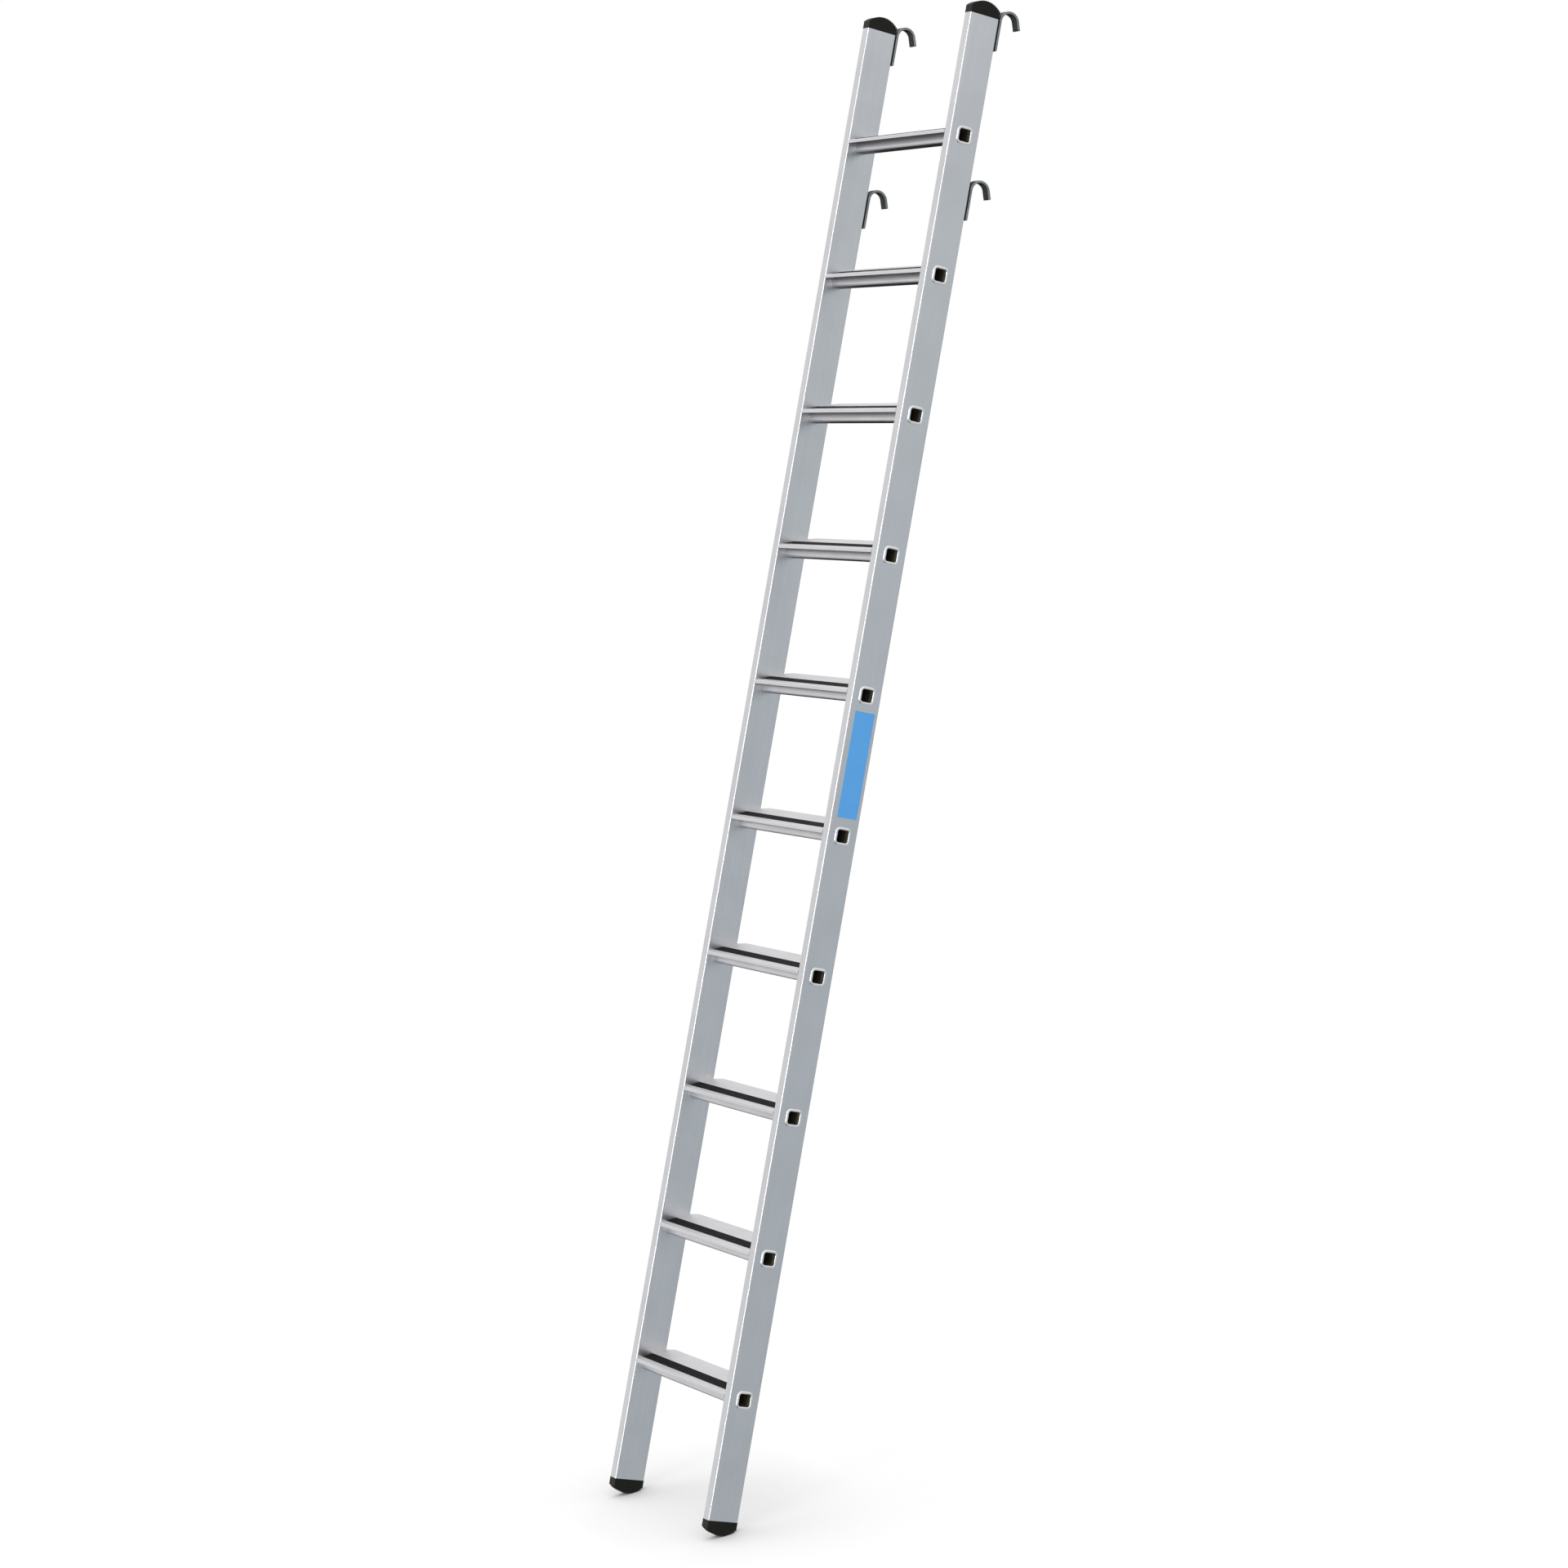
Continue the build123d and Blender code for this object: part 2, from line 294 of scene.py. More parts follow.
def even_levels(tree: NodeTree, count: NodeSocket, first: NodeSocket, pitch: NodeSocket) -> Node:
    """Adds points at an even pitch up the stile to a tree.

    Args:
        tree: The tree.
        count: How many points.
        first: Level of the lowest one.
        pitch: Distance between two of them.

    Returns:
        The node that gives the points.
    """
    start = add_node(tree, "ShaderNodeCombineXYZ", {"Z": first})
    rise = add_node(tree, "ShaderNodeCombineXYZ", {"Z": pitch})
    return add_node(tree, "GeometryNodeMeshLine", {
        "Count": count, "Start Location": start, "Offset": rise}, mode="OFFSET")


def row_tree() -> NodeTree:
    """Tree that repeats a piece up the stile at an even pitch."""
    tree, sizes = new_tree("row_up_the_stile", {
        "Piece": THING, "Count": WHOLE, "First Level": FLOAT, "Pitch": FLOAT, "Finish": FINISH})
    levels = even_levels(tree, *(sizes.outputs[name] for name in ("Count", "First Level", "Pitch")))
    piece = add_node(tree, "GeometryNodeObjectInfo", {"Object": sizes.outputs["Piece"]})
    row = add_node(tree, "GeometryNodeInstanceOnPoints", {
        "Points": levels, "Instance": piece.outputs["Geometry"]})
    close_tree(tree, row, sizes)
    return tree


def places_tree() -> NodeTree:
    """Tree that sets a piece at each vertex of a places mesh, all turned alike."""
    tree, sizes = new_tree("set_at_places", {
        "Piece": THING, "Places": THING, "Turn": TURN, "Finish": FINISH})
    spots = add_node(tree, "GeometryNodeObjectInfo", {"Object": sizes.outputs["Places"]})
    piece = add_node(tree, "GeometryNodeObjectInfo", {"Object": sizes.outputs["Piece"]})
    copies = add_node(tree, "GeometryNodeInstanceOnPoints", {
        "Points": spots.outputs["Geometry"], "Instance": piece.outputs["Geometry"],
        "Rotation": sizes.outputs["Turn"]})
    close_tree(tree, copies, sizes)
    return tree


# Finishes: pattern sizes and relief depths are millimetres, and part is how much of a pattern's range shows

def new_finish(name: str) -> tuple[Material, NodeTree, Node]:
    """Starts a material; returns it, its tree and its shader node."""
    material = bpy.data.materials.new(name)
    material.use_nodes = True
    tree = material.node_tree
    return material, tree, tree.nodes["Principled BSDF"]


def pattern_space(tree: NodeTree, lean: float, sizes: Sequence[float]) -> Node:
    """Gives a pattern's coordinates in the ladder's own axes.

    Args:
        tree: The material's tree.
        lean: Degrees that the ladder leans by.
        sizes: Millimetres that one unit of the pattern takes along each ladder axis.

    Returns:
        The node that gives the coordinates.
    """
    spot = add_node(tree, "ShaderNodeTexCoord").outputs["Object"]
    turned = add_node(tree, "ShaderNodeMapping", {"Vector": spot, "Rotation": (radians(lean), 0, 0)})
    counts = tuple(1000 / size for size in sizes)
    return add_node(tree, "ShaderNodeVectorMath", {0: turned, 1: counts}, operation="MULTIPLY")


def noise(tree: NodeTree, lean: float, sizes: Sequence[float], detail: float,
          roughness: float = 0.5) -> Node:
    """Adds soft noise to a material.

    Args:
        tree: The material's tree.
        lean: Degrees that the ladder leans by.
        sizes: Millimetres that one unit of the noise takes along each ladder axis.
        detail: How many finer layers are added.
        roughness: Strength of each layer against the coarser one.

    Returns:
        The node that gives the noise.
    """
    return add_node(tree, "ShaderNodeTexNoise", {
        "Vector": pattern_space(tree, lean, sizes), "Scale": 1.0, "Detail": detail, "Roughness": roughness})


def spread(tree: NodeTree, pattern: Node | NodeSocket, part: Point, result: Point) -> Node:
    """Maps part of a pattern's range onto another range, held at both ends."""
    return add_node(tree, "ShaderNodeMapRange", {
        "Value": pattern, "From Min": part[0], "From Max": part[1],
        "To Min": result[0], "To Max": result[1]})


def wire_shader(tree: NodeTree, shader: Node, colours: tuple[str, str], share: Node, gloss: Node,
                relief: Node, strength: float, depth: float) -> None:
    """Joins a finish's patterns to its shader.

    Args:
        tree: The material's tree.
        shader: Its shader node.
        colours: The sRGB colours where the share is 0 and 1.
        share: Pattern that mixes the colours.
        gloss: Pattern of the roughness.
        relief: Pattern of the fine relief.
        strength: Strength of that relief.
        depth: Its depth in millimetres.
    """
    colour = add_node(tree, "ShaderNodeMix", {
        "Factor": share, 6: linear(colours[0]), 7: linear(colours[1])}, data_type="RGBA")
    bump = add_node(tree, "ShaderNodeBump", {
        "Height": relief, "Strength": strength, "Distance": depth / 1000})
    tree.links.new(colour.outputs[2], shader.inputs["Base Color"])
    tree.links.new(gloss.outputs[0], shader.inputs["Roughness"])
    tree.links.new(bump.outputs[0], shader.inputs["Normal"])


@dataclass(frozen=True)
class ExtrudedAluminium:
    """Mill-finish extruded aluminium, as it leaves the die."""

    # Pale satin metal with die lines along the pull and slow cloudy patches.
    name: str
    grain: Grain
    light: str = "#E7E7E9"
    dark: str = "#DCDDE0"
    smooth: float = 0.27
    rough: float = 0.34
    # Real die lines are well under 1 mm apart; they are drawn this wide to show at all.
    line_width: float = 2.0
    line_length: float = 260.0
    cloud_size: float = 90.0
    cloud_base: float = 0.25
    part: Point = (0.35, 0.65)
    strength: float = 0.06
    depth: float = 0.03

    def build(self, lean: float) -> Material:
        """Makes the material for a ladder that leans by so many degrees."""
        material, tree, shader = new_finish(self.name)
        sizes = [self.line_width] * 3
        sizes[self.grain.value] = self.line_length
        lines = noise(tree, lean, sizes, 3.0, 0.6)
        clouds = noise(tree, lean, [self.cloud_size] * 3, 2.0)
        mixed = add_node(tree, "ShaderNodeMath", {
            0: lines, 1: clouds, 2: self.cloud_base}, operation="MULTIPLY_ADD")
        tone = spread(tree, mixed, self.part, (0.0, 1.0))
        gloss = spread(tree, mixed, self.part, (self.rough, self.smooth))
        wire_shader(tree, shader, (self.dark, self.light), tone, gloss, lines, self.strength, self.depth)
        shader.inputs["Metallic"].default_value = 1.0
        return material


@dataclass(frozen=True)
class DullSteel:
    """Mild steel with a dull plated, rolled or sheared skin."""

    # Dull grey metal; its skin lies in soft-edged spangles of slightly different greys over a fine grit.
    name: str
    light: str
    dark: str
    smooth: float = 0.38
    rough: float = 0.52
    spangle: float = 5.0
    grit: float = 0.9
    part: Point = (0.2, 0.8)
    strength: float = 0.2
    depth: float = 0.1

    def build(self, lean: float) -> Material:
        """Makes the material for a ladder that leans by so many degrees."""
        material, tree, shader = new_finish(self.name)
        cells = add_node(tree, "ShaderNodeTexVoronoi", {
            "Vector": pattern_space(tree, lean, [self.spangle] * 3), "Scale": 1.0}, feature="SMOOTH_F1")
        grey = add_node(tree, "ShaderNodeRGBToBW", {"Color": cells.outputs["Color"]})
        grit = noise(tree, lean, [self.grit] * 3, 2.0)
        gloss = spread(tree, grey, self.part, (self.rough, self.smooth))
        wire_shader(tree, shader, (self.dark, self.light), grey, gloss, grit, self.strength, self.depth)
        shader.inputs["Metallic"].default_value = 1.0
        return material


@dataclass(frozen=True)
class MattBlack:
    """Dark surface that mirrors little: moulded plastic, rubber, or the painted shade inside a tube's bore.
    """

    # Dark and matt; a fine eroded grain breaks the sheen and paler dust sits on it in patches.
    name: str
    colour: str
    dust: str
    rough: float
    specular: float
    # Real mould grain is about 0.3 mm; drawn this coarse to show.
    grain: float = 1.4
    patch: float = 22.0
    dusty_part: Point = (0.45, 0.75)
    most_dust: float = 0.6
    part: Point = (0.3, 0.7)
    sheen: float = 0.08
    strength: float = 0.25
    depth: float = 0.1

    def build(self, lean: float) -> Material:
        """Makes the material for a ladder that leans by so many degrees."""
        material, tree, shader = new_finish(self.name)
        grain = noise(tree, lean, [self.grain] * 3, 2.0)
        patches = noise(tree, lean, [self.patch] * 3, 4.0)
        dusty = spread(tree, patches, self.dusty_part, (0.0, self.most_dust))
        gloss = spread(tree, grain, self.part, (self.rough - self.sheen, self.rough + self.sheen))
        wire_shader(tree, shader, (self.colour, self.dust), dusty, gloss, grain, self.strength, self.depth)
        shader.inputs["Specular IOR Level"].default_value = self.specular
        return material


@dataclass(frozen=True)
class VinylFilm:
    """Self-adhesive blue vinyl film, left plain."""

    # Even satin blue, with the faint orange peel of film laid on metal.
    name: str = "blue_vinyl_film"
    light: str = "#69BAFF"
    dark: str = "#61B2FC"
    rough: float = 0.38
    specular: float = 0.3
    peel: float = 3.0
    fade: float = 55.0
    part: Point = (0.3, 0.7)
    sheen: float = 0.05
    strength: float = 0.1
    depth: float = 0.05

    def build(self, lean: float) -> Material:
        """Makes the material for a ladder that leans by so many degrees."""
        material, tree, shader = new_finish(self.name)
        peel = noise(tree, lean, [self.peel] * 3, 1.0)
        fade = noise(tree, lean, [self.fade] * 3, 2.0)
        gloss = spread(tree, peel, self.part, (self.rough - self.sheen, self.rough + self.sheen))
        wire_shader(tree, shader, (self.dark, self.light), fade, gloss, peel, self.strength, self.depth)
        shader.inputs["Specular IOR Level"].default_value = self.specular
        return material


STILE_METAL = ExtrudedAluminium("extruded_aluminium_stile", Grain.UP_THE_STILE)
TREAD_METAL = ExtrudedAluminium("extruded_aluminium_tread", Grain.ACROSS, light="#E9E8EB", dark="#DEDDE0",
                                smooth=0.36, rough=0.46)
# Painted shade: a darker copy of the tread metal for the down-facing faces and the lips' backs
UNDERSIDE_PAINTED_SHADE = ExtrudedAluminium("painted_shade_tread_underside", Grain.ACROSS, light="#6E6D6C", dark="#646362",
                                    smooth=0.42, rough=0.55)
# Painted highlight: the beads are pure white, paler than the tube, so the rings read bright all round
BEAD_PAINTED_HIGHLIGHT = ExtrudedAluminium("painted_highlight_tube_bead", Grain.ACROSS, light="#FFFFFF", dark="#F7F7F8",
                               smooth=0.3, rough=0.38)
# Painted shade: the bores are coloured dark to stand in for the shade inside the tubes
BORE_PAINTED_SHADE = MattBlack("painted_shade_in_tube_bore", colour="#5C584C", dust="#686357", rough=0.8, specular=0.0)
HOOK_EDGE_STEEL = DullSteel("sheared_steel_edge", light="#A6A8A7", dark="#929493")
HOOK_FACE_STEEL = DullSteel("dark_rolled_steel_face", light="#484C4A", dark="#3A3E3C", smooth=0.45, rough=0.6)
RIVET_STEEL = DullSteel("zinc_plated_rivet", light="#C6C8CA", dark="#B4B6B8", smooth=0.3, rough=0.4)
CAP_PLASTIC = MattBlack("moulded_black_plastic", colour="#13120C", dust="#1C1A13", rough=0.45, specular=0.25)
STRIP_RUBBER = MattBlack("ribbed_black_rubber", colour="#0F0F0E", dust="#1A1A19", rough=0.6, specular=0.12)
PACKING_RUBBER = MattBlack("black_rubber_packing", colour="#141414", dust="#1E1E1D", rough=0.7, specular=0.15)
LABEL_FILM = VinylFilm()


# The ladder and its sub-assemblies

@dataclass(frozen=True)
class Ladder:
    """Layout that every sub-assembly is placed by."""

    tread_count: int = 10
    tread_pitch: float = 280.0
    overhang: float = 240.0
    width: float = 412.0
    lean: float = 20.0
    stile_width: float = 23.0
    stile_depth: float = 67.0
    stile_wall: float = 1.8
    tube_size: float = 28.0
    tube_corner: float = 6.0
    rail_radius: float = 18.0
    rail_spacing: float = 340.0
    hook_thickness: float = 5.0
    packing_thickness: float = 3.0

    @property
    def stile_length(self) -> float:
        """Length of a stile between its caps."""
        return 2 * self.overhang + (self.tread_count - 1) * self.tread_pitch

    @property
    def stile_centre(self) -> float:
        """Distance of a stile's axis from the ladder's middle."""
        return (self.width - self.stile_width) / 2

    @property
    def tread_half(self) -> float:
        """Half the clear width between the stiles."""
        return self.width / 2 - self.stile_width

    @property
    def rail_centre(self) -> float:
        """How far behind the stiles' front the rails' axes lie."""
        return self.stile_depth + self.packing_thickness + self.hook_thickness + self.rail_radius

    @property
    def rail_levels(self) -> tuple[float, float]:
        """Heights of the upper and lower rail up the stile."""
        return self.stile_length, self.stile_length - self.rail_spacing

    def standing(self) -> Matrix:
        """Matrix from the ladder's axes to the shared frame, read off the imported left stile."""
        low = Vector(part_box("stile_left")[0])
        rise = self.stile_depth * sin(radians(self.lean)) / 1000
        foot = Matrix.Translation((0, low.y, low.z + rise))
        return foot @ Matrix.Rotation(-radians(self.lean), 4, "X") @ Matrix.Scale(0.001, 4)


@dataclass
class Stiles:
    """The two hollow stiles, punched for the tread tubes."""

    ladder: Ladder
    corner: float = 3.0
    inner_corner: float = 0.3
    hole_clearance: float = 0.2
    # How far the hollow's cutter passes each end, and the length of a hole's cutter
    spare: float = 10.0
    punch: float = 60.0

    def tree(self) -> NodeTree:
        """Tree of one stile about its own axis: a hollow rounded bar less a row of holes."""
        tree, sizes = new_tree("punched_stile", {
            "Length": FLOAT, "Width": FLOAT, "Depth": FLOAT, "Corner": FLOAT, "Inner Width": FLOAT,
            "Inner Depth": FLOAT, "Hole Size": FLOAT, "Hole Corner": FLOAT, "Hole Count": WHOLE,
            "First Hole": FLOAT, "Hole Pitch": FLOAT, "Finish": FINISH})
        size = sizes.outputs
        longer = add_node(tree, "ShaderNodeMath", {0: size["Length"], 1: 2 * self.spare}, operation="ADD")
        solid = self.bar(tree, size["Depth"], size["Width"], size["Corner"], (0, 0, 0), size["Length"])
        hollow = self.bar(tree, size["Inner Depth"], size["Inner Width"], self.inner_corner,
                          (0, 0, -self.spare), longer)
        punch = self.bar(tree, size["Hole Size"], size["Hole Size"], size["Hole Corner"],
                         (-self.punch / 2, 0, 0), self.punch, (1, 0, 0))
        levels = even_levels(tree, size["Hole Count"], size["First Hole"], size["Hole Pitch"])
        punches = add_node(tree, "GeometryNodeInstanceOnPoints", {"Points": levels, "Instance": punch})
        cutters = add_node(tree, "GeometryNodeRealizeInstances", {"Geometry": punches})
        pipe = add_node(tree, "GeometryNodeMeshBoolean", {
            "Mesh 1": solid, "Mesh 2": hollow}, operation="DIFFERENCE")
        punched = add_node(tree, "GeometryNodeMeshBoolean", {
            "Mesh 1": pipe, "Mesh 2": cutters}, operation="DIFFERENCE")
        close_tree(tree, punched, sizes)
        return tree

    def bar(self, tree: NodeTree, depth: Any, width: Any, corner: Any, start: Spot,
            length: Any, along: Spot = (0, 0, 1)) -> Node:
        """Adds a rounded rectangular bar to a tree.

        Args:
            tree: The tree.
            depth: Size across the bar in its first direction, a number or a socket.
            width: Size in the second direction.
            corner: Corner radius.
            start: Where the bar's axis starts.
            length: Length of the bar.
            along: Direction of its axis.

        Returns:
            The node that gives the bar.
        """
        axis = add_node(tree, "GeometryNodeCurvePrimitiveLine", {
            "Start": start, "Direction": along, "Length": length}, mode="DIRECTION")
        section = add_node(tree, "GeometryNodeCurvePrimitiveQuadrilateral", {"Width": width, "Height": depth})
        rounded = add_node(tree, "GeometryNodeFilletCurve", {
            "Curve": section, "Count": 6, "Radius": corner}, mode="POLY")
        return add_node(tree, "GeometryNodeCurveToMesh", {
            "Curve": axis, "Profile Curve": rounded, "Fill Caps": True})

    def build(self) -> list[Object]:
        """Makes both stiles and dresses them; returns the pieces."""
        ladder, tree, finish = self.ladder, self.tree(), STILE_METAL.build(self.ladder.lean)
        pieces = []
        for side, sign in (("left", -1), ("right", 1)):
            piece = grow(f"stile_{side}_extrusion", tree, {
                "Length": ladder.stile_length, "Width": ladder.stile_width, "Depth": ladder.stile_depth,
                "Corner": self.corner, "Inner Width": ladder.stile_width - 2 * ladder.stile_wall,
                "Inner Depth": ladder.stile_depth - 2 * ladder.stile_wall,
                "Hole Size": ladder.tube_size + self.hole_clearance, "Hole Corner": ladder.tube_corner,
                "Hole Count": ladder.tread_count, "First Hole": ladder.overhang,
                "Hole Pitch": ladder.tread_pitch, "Finish": finish})
            middle = Matrix.Translation((sign * ladder.stile_centre, ladder.stile_depth / 2, 0))
            place(piece, ladder.standing() @ middle)
            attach(piece, "root")
            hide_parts(f"stile_{side}")
            pieces.append(piece)
        return pieces


@dataclass
class Treads:
    """Ten extruded steps, each with a tube crimped through both stiles."""

    ladder: Ladder
    depth: float = 83.0
    rise: float = 6.5
    plate: float = 2.2
    lip_height: float = 6.8
    lip_thickness: float = 2.4
    nose_round: float = 1.2
    edge_round: float = 0.4
    clip_depth: float = 11.0
    clip_width: float = 17.0
    tube_wall: float = 1.6
    # How far the bore's cutter passes each end of the tube
    bore_spare: float = 5.0
    # Kept off the tube's own plane, where joining them would leave doubled faces, and off the stiles
    web_inset: float = 0.05
    web_gap: float = 0.5
    slot_start: float = 14.7
    slot_width: float = 24.4
    slot_lip: float = 1.2
    slot_undercut: float = 1.2
    slot_depth: float = 2.4
    slot_floor: float = 1.8
    bead_size: float = 35.5
    bead_height: float = 2.4
    bead_round: float = 2.2
    mouth_round: float = 2.0
    bead_steps: int = 8
    # Upward part of the normal below which a face gets the darker painted shade: above the tube's bottom, and
    # on that bottom
    painted_shade_tilt: float = -0.3
    flat_tilt: float = -0.97

    @property
    def bore_size(self) -> float:
        """Inner size of the square tube."""
        return self.ladder.tube_size - 2 * self.tube_wall

    def tread_point(self, along: float, up: float) -> Point:
        """Side-view point given along the step's top from its front edge, and up from that top."""
        lean = radians(self.ladder.lean)
        return along * cos(lean) - up * sin(lean), self.rise + along * sin(lean) + up * cos(lean)

    def plate_outline(self) -> list[Point]:
        """Side view of the step plate: lips at front and rear, undercut slot for the strip."""
        soft = self.edge_round
        start, stop = self.slot_start, self.slot_start + self.slot_width
        under, base = -self.slot_depth, -self.slot_depth - self.slot_floor
        wall = self.slot_undercut + self.slot_floor
        rear, back = self.depth - self.lip_thickness, self.depth
        slope = tan(radians(self.ladder.lean))
        drop = self.plate / cos(radians(self.ladder.lean))
        lip = [(0, self.rise, self.nose_round), (0, self.rise - self.lip_height, soft),
               (self.lip_thickness, self.rise - self.lip_height, soft),
               (self.lip_thickness, self.rise + self.lip_thickness * slope - drop, soft)]
        flat = [(start - wall, -self.plate, 0), (start - wall, base, soft), (stop + wall, base, soft),
                (stop + wall, -self.plate, 0), (rear, -self.plate, soft), (rear, -self.lip_height, soft),
                (back, -self.lip_height, soft), (back, 0, 2 * soft), (stop, 0, soft / 2),
                (stop, -self.slot_lip, 0), (stop + self.slot_undercut, -self.slot_lip, 0),
                (stop + self.slot_undercut, under, 0), (start - self.slot_undercut, under, 0),
                (start - self.slot_undercut, -self.slot_lip, 0), (start, -self.slot_lip, 0),
                (start, 0, soft / 2)]
        return round_corners(lip + [(*self.tread_point(along, up), radius) for along, up, radius in flat])

    def plate_body(self) -> Object:
        """Step plate between the stiles, its rear corners clipped off."""
        shape = bmesh.new()
        half = self.ladder.tread_half
        soft_prism(shape, self.plate_outline(), -half, half)
        for sign in (-1, 1):
            along = Vector((0, *self.tread_point(1, 0))) - Vector((0, *self.tread_point(0, 0)))
            normal = Vector((sign * self.clip_depth, 0, 0)) + along * self.clip_width
            spot = Vector((sign * half, *self.tread_point(self.depth - self.clip_depth, 0)))
            cut = bmesh.ops.bisect_plane(shape, geom=shape.verts[:] + shape.edges[:] + shape.faces[:],
                                         plane_co=spot, plane_no=normal, clear_outer=True)
            rim = [part for part in cut["geom_cut"] if isinstance(part, BMEdge)]
            bmesh.ops.holes_fill(shape, edges=rim)
        return to_object("tread_plate", shape)

    def square(self, size: float, x: float) -> list[Spot]:
        """Loop about the tube's axis at one X; its corners stay in line with the tube's."""
        flat = self.ladder.tube_size / 2 - self.ladder.tube_corner
        loop = rounded_rectangle(size, size, size / 2 - flat)
        return [(x, y + self.ladder.stile_depth / 2, z) for y, z in loop]

    def tube(self, size: float, half: float) -> Object:
        """Solid rounded square bar about the tube's axis."""
        shape = bmesh.new()
        loft(shape, [self.square(size, -half), self.square(size, half)])
        return to_object("tube_bar", shape)

    def web(self) -> Object:
        """Upright wall that carries the plate on the back of the tube, just off the tube's own plane."""
        back = (self.ladder.stile_depth + self.ladder.tube_size) / 2 - self.web_inset
        front = back - self.tube_wall
        top = self.rise + front * tan(radians(self.ladder.lean)) - self.plate / 2
        shape = bmesh.new()
        half = self.ladder.tread_half - self.web_gap
        soft_prism(shape, [(front, 0), (back, 0), (back, top), (front, top)], -half, half)
        return to_object("tread_web", shape)

    def beads(self) -> Object:
        """Rolled beads that lock the tube on both stiles' outer faces."""
        shape = bmesh.new()
        face = self.ladder.width / 2
        inner, outer = self.bore_size / 2, self.bead_size / 2
        top = self.bead_height
        profile = round_corners([(outer, 0, 0), (outer, top, self.bead_round), (inner, top, self.mouth_round),
                                 (inner, 0, 0)], self.bead_steps)
        for sign in (-1, 1):
            loft(shape, [self.square(2 * half, sign * (face + x)) for half, x in profile], ring=True)
        return to_object("rolled_beads", shape)

    def tree(self) -> NodeTree:
        """Tree that fuses plate, web and tube, opens the bore and adds the beads."""
        names = ("Plate", "Web", "Tube", "Bore", "Beads")
        tree, sizes = new_tree("crimped_tread", {**dict.fromkeys(names, THING), "Finish": FINISH})
        infos = [add_node(tree, "GeometryNodeObjectInfo", {"Object": sizes.outputs[name]}) for name in names]
        plate, web, tube, bore, beads = (info.outputs["Geometry"] for info in infos)
        fused = add_node(tree, "GeometryNodeMeshBoolean", {"Mesh 2": [plate, web, tube]}, operation="UNION")
        bored = add_node(tree, "GeometryNodeMeshBoolean", {
            "Mesh 1": fused, "Mesh 2": bore}, operation="DIFFERENCE")
        joined = add_node(tree, "GeometryNodeJoinGeometry", {"Geometry": [bored.outputs["Mesh"], beads]})
        close_tree(tree, joined, sizes)
        return tree

    def finish_faces(self, row: Object) -> None:
        """Paints shade into the bores, onto the down-facing faces and onto the lips' backs, and paints a
        white highlight onto the beads.
        """
        ladder, slots = self.ladder, row.data.materials
        tube, bore = ladder.tube_size / 2, self.bore_size / 2
        flat = tube - ladder.tube_corner
        place_of: dict[str, int] = {}
        for finish in (BORE_PAINTED_SHADE, UNDERSIDE_PAINTED_SHADE, BEAD_PAINTED_HIGHLIGHT):
            slots.append(finish.build(ladder.lean))
            place_of[finish.name] = len(slots) - 1
        for face in row.data.polygons:
            x, y, z = face.center
            step = round((z - ladder.overhang) / ladder.tread_pitch)
            up = z - ladder.overhang - step * ladder.tread_pitch
            arm = Vector((0, y - ladder.stile_depth / 2, up))
            reach = flat + hypot(max(abs(arm.y) - flat, 0), max(abs(arm.z) - flat, 0))
            above = up > -tube / 2
            lip_back = above and face.normal.y > 0.5 and y < self.lip_thickness + SLACK
            # Painted shade inside the bores
            if reach < bore + SLACK and face.normal.dot(arm) < 0:
                face.material_index = place_of[BORE_PAINTED_SHADE.name]
            # Painted highlight on the beads
            elif abs(x) > ladder.width / 2:
                face.material_index = place_of[BEAD_PAINTED_HIGHLIGHT.name]
            # Painted shade: down-facing faces and the lips' backs get the darker metal
            elif lip_back or face.normal.z < (self.painted_shade_tilt if above else self.flat_tilt):
                face.material_index = place_of[UNDERSIDE_PAINTED_SHADE.name]

    def build(self) -> list[Object]:
        """Makes the row of treads and dresses it; returns the piece."""
        ladder, finish = self.ladder, TREAD_METAL.build(self.ladder.lean)
        half = ladder.width / 2
        tread = grow("tread", self.tree(), {
            "Plate": self.plate_body(), "Web": self.web(), "Tube": self.tube(ladder.tube_size, half),
            "Bore": self.tube(self.bore_size, half + self.bore_spare), "Beads": self.beads(),
            "Finish": finish})
        row = grow("treads", row_tree(), {
            "Piece": tread, "Count": ladder.tread_count, "First Level": ladder.overhang,
            "Pitch": ladder.tread_pitch, "Finish": finish})
        self.finish_faces(row)
        place(row, ladder.standing())
        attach(row, "root")
        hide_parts(*(f"tread_{i + 1:02d}" for i in range(ladder.tread_count)))
        return [row]


